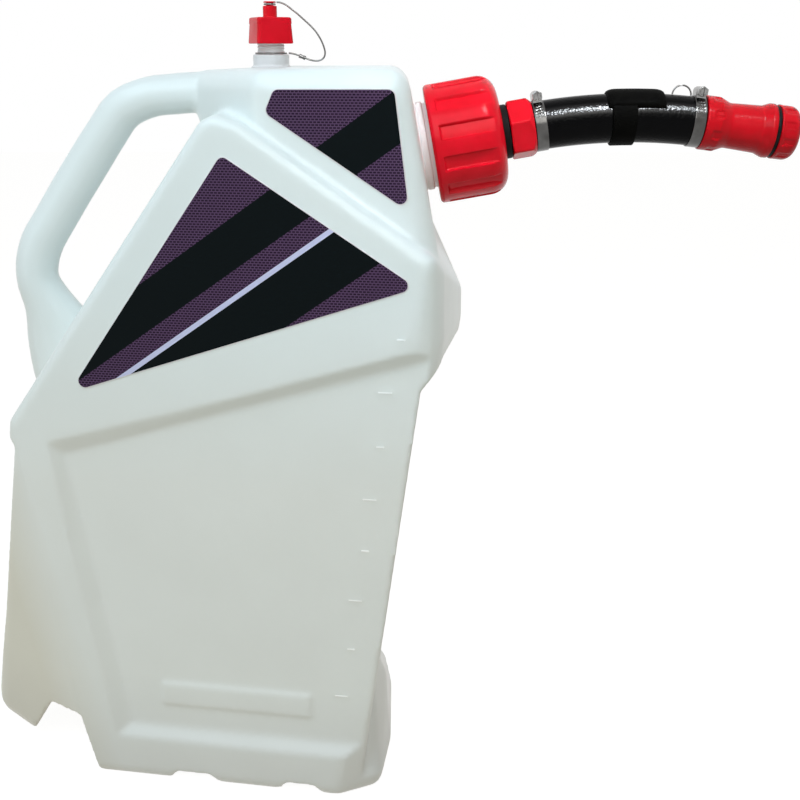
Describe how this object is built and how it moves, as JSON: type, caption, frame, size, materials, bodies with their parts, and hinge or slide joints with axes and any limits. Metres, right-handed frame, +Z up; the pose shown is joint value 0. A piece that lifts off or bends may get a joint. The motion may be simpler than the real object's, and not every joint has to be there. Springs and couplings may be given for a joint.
{
  "type": "utility can",
  "caption": "Blow-moulded utility can with a carrying handle, a screw cap with a bent hose spout and a capped nozzle, and a tethered vent cap.",
  "frame": {"origin": "on the ground under the middle of the can's base", "axes": "+X along the spout, +Y across the can to its right-hand side, +Z up"},
  "size_m": [0.6405, 0.2466, 0.5941],
  "materials": {
    "milky_plastic": "satin, slightly translucent",
    "label": "woven print, satin",
    "red_plastic": "moulded gloss",
    "black_plastic": "matt",
    "hose_rubber": "smooth, slightly glossy",
    "seal_rubber": "matt",
    "steel": "bright"
  },
  "bodies": {
    "can": {"can_shell": "milky_plastic", "large_label_left": "label", "large_label_right": "label", "small_label_left": "label", "small_label_right": "label", "tether_wire": "steel", "tether_stem_loop": "steel", "tether_ferrules": "steel"},
    "cap_slider": {"neck_gasket": "seal_rubber"},
    "cap": {"screw_cap": "red_plastic", "fitting_seal": "seal_rubber", "hose_fitting": "red_plastic", "fitting_washer": "steel", "fitting_locknut": "steel", "hose": "hose_rubber", "rear_clamp_band": "steel", "rear_clamp_housing": "steel", "hose_clip": "black_plastic", "front_clamp_band": "steel", "front_clamp_housing": "steel", "lanyard_eye": "steel", "nozzle": "red_plastic"},
    "rear_screw": {"rear_clamp_screw": "steel"},
    "front_screw": {"front_clamp_screw": "steel"},
    "nozzle_slider": {"nozzle_ring": "seal_rubber"},
    "nozzle_end": {"nozzle_cap": "red_plastic"},
    "vent_slider": {"vent_seal": "seal_rubber", "tether_top_loop": "steel"},
    "vent_knob": {"vent_cap": "red_plastic"}
  },
  "joints": [
    {"name": "cap_lift", "type": "slide", "parent": "can", "child": "cap_slider", "axis": [0.9848, 0, 0.1736], "range_m": [0, 0.0121]},
    {"name": "cap_turn", "type": "hinge", "parent": "cap_slider", "child": "cap", "pos_m": [0.184, 0, 0.49], "axis": [0.9848, 0, 0.1736], "range_deg": [0, 720]},
    {"name": "rear_screw_turn", "type": "hinge", "parent": "cap", "child": "rear_screw", "pos_m": [0.2699, 0, 0.52746], "axis": [0, -1, 0], "continuous": true},
    {"name": "front_screw_turn", "type": "hinge", "parent": "cap", "child": "front_screw", "pos_m": [0.3919, 0, 0.53065], "axis": [0, -1, 0], "continuous": true},
    {"name": "nozzle_lift", "type": "slide", "parent": "cap", "child": "nozzle_slider", "axis": [0.9925, 0, -0.1219], "range_m": [0, 0.0061]},
    {"name": "nozzle_turn", "type": "hinge", "parent": "nozzle_slider", "child": "nozzle_end", "pos_m": [0.39429, 0, 0.50822], "axis": [0.9925, 0, -0.1219], "range_deg": [0, 720]},
    {"name": "vent_lift", "type": "slide", "parent": "can", "child": "vent_slider", "axis": [0, 0, 1], "range_m": [0, 0.0061], "deforming": ["tether_wire"]},
    {"name": "vent_turn", "type": "hinge", "parent": "vent_slider", "child": "vent_knob", "pos_m": [0.074, 0, 0.548], "axis": [0, 0, 1], "range_deg": [0, 1080]}
  ],
  "couplings": [
    {"joint": "cap_lift", "follows": "cap_turn", "m_per_rad": 0.00095493},
    {"joint": "nozzle_lift", "follows": "nozzle_turn", "m_per_rad": 0.00047746},
    {"joint": "vent_lift", "follows": "vent_turn", "m_per_rad": 0.00031831}
  ]
}
